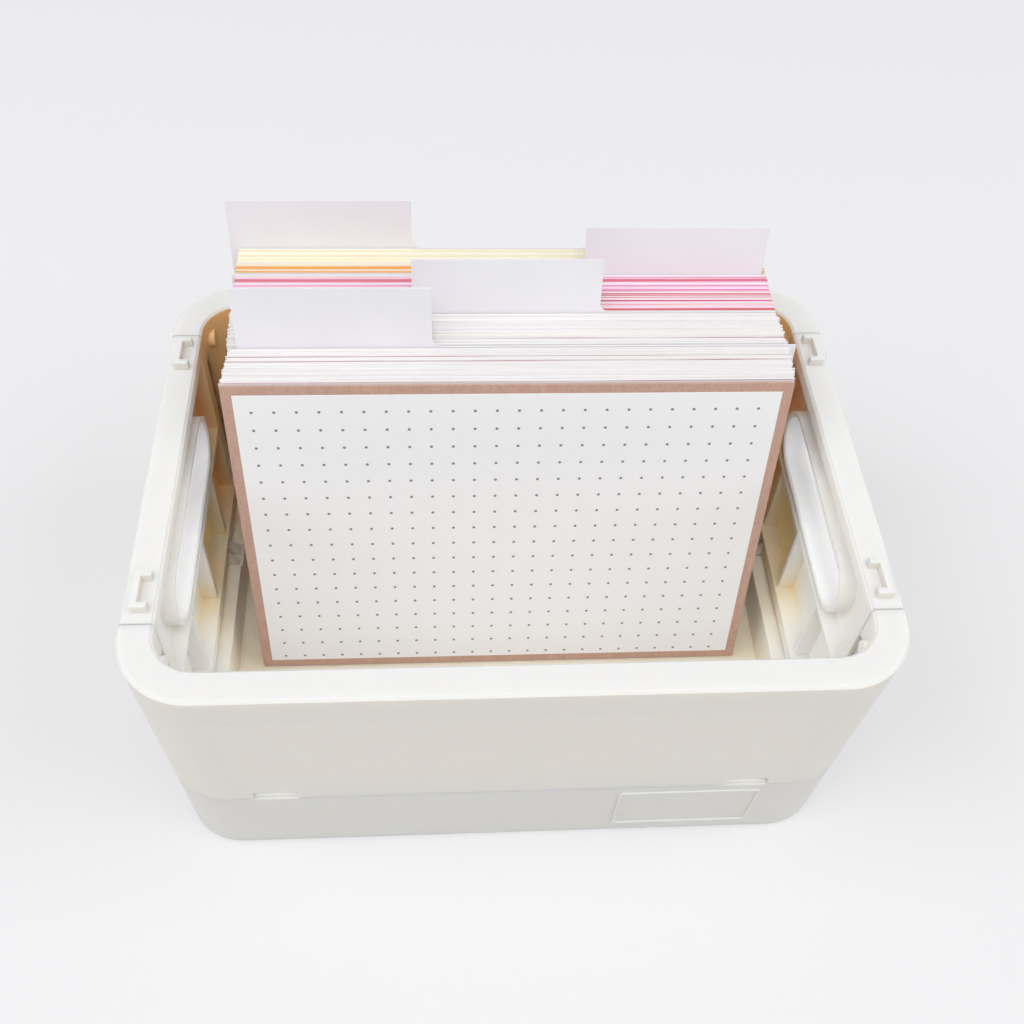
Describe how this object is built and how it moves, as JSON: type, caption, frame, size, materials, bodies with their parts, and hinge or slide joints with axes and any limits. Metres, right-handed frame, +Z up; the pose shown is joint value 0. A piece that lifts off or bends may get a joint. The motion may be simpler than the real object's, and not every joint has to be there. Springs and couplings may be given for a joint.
{
  "type": "flashcard box",
  "caption": "Open folding crate of cream plastic with hinged walls and hand holes, holding leaning study cards, tabbed dividers and a dot-grid front card.",
  "frame": {"origin": "middle of the footprint, on the surface the box stands on", "axes": "+X to the right along the long side, +Y to the rear, +Z up"},
  "size_m": [0.164, 0.121, 0.1072],
  "materials": {
    "tray_plastic": "satin moulded",
    "wall_plastic": "fine matte moulded",
    "grid_card": "uncoated print",
    "card_paper": "uncoated",
    "divider_card": "smooth uncoated"
  },
  "bodies": {
    "crate": {"base_tray": "tray_plastic", "front_wall": "wall_plastic", "rear_wall": "wall_plastic"},
    "end_wall_left": {"end_wall_left": "wall_plastic"},
    "end_wall_right": {"end_wall_right": "wall_plastic"},
    "front_card": {"front_card": "grid_card"},
    "flashcards_a": {"flashcards_a": "card_paper"},
    "divider_a": {"divider_a": "divider_card"},
    "flashcards_b": {"flashcards_b": "card_paper"},
    "divider_b": {"divider_b": "divider_card"},
    "flashcards_c": {"flashcards_c": "card_paper"},
    "divider_c": {"divider_c": "divider_card"},
    "flashcards_d": {"flashcards_d": "card_paper"},
    "divider_d": {"divider_d": "divider_card"}
  },
  "joints": [
    {"name": "end_wall_left_fold", "type": "hinge", "parent": "crate", "child": "end_wall_left", "pos_m": [-0.0768, 0, 0.0187], "axis": [0, 1, 0], "range_deg": [0, 8]},
    {"name": "end_wall_right_fold", "type": "hinge", "parent": "crate", "child": "end_wall_right", "pos_m": [0.0768, 0, 0.0187], "axis": [0, -1, 0], "range_deg": [0, 8]},
    {"name": "front_card_tip", "type": "hinge", "parent": "crate", "child": "front_card", "pos_m": [0, -0.01075, 0.00345], "axis": [1, 0, 0], "range_deg": [0, 41]},
    {"name": "flashcards_a_lift", "type": "slide", "parent": "crate", "child": "flashcards_a", "axis": [0, 0.2052, 0.9787], "range_m": [0, 0.08]},
    {"name": "divider_a_lift", "type": "slide", "parent": "crate", "child": "divider_a", "axis": [0, 0.2052, 0.9787], "range_m": [0, 0.08]},
    {"name": "flashcards_b_lift", "type": "slide", "parent": "crate", "child": "flashcards_b", "axis": [0, 0.2052, 0.9787], "range_m": [0, 0.08]},
    {"name": "divider_b_lift", "type": "slide", "parent": "crate", "child": "divider_b", "axis": [0, 0.2052, 0.9787], "range_m": [0, 0.08]},
    {"name": "flashcards_c_lift", "type": "slide", "parent": "crate", "child": "flashcards_c", "axis": [0, 0.2052, 0.9787], "range_m": [0, 0.08]},
    {"name": "divider_c_lift", "type": "slide", "parent": "crate", "child": "divider_c", "axis": [0, 0.2052, 0.9787], "range_m": [0, 0.08]},
    {"name": "flashcards_d_lift", "type": "slide", "parent": "crate", "child": "flashcards_d", "axis": [0, 0.2052, 0.9787], "range_m": [0, 0.08]},
    {"name": "divider_d_lift", "type": "slide", "parent": "crate", "child": "divider_d", "axis": [0, 0.2052, 0.9787], "range_m": [0, 0.08]}
  ]
}
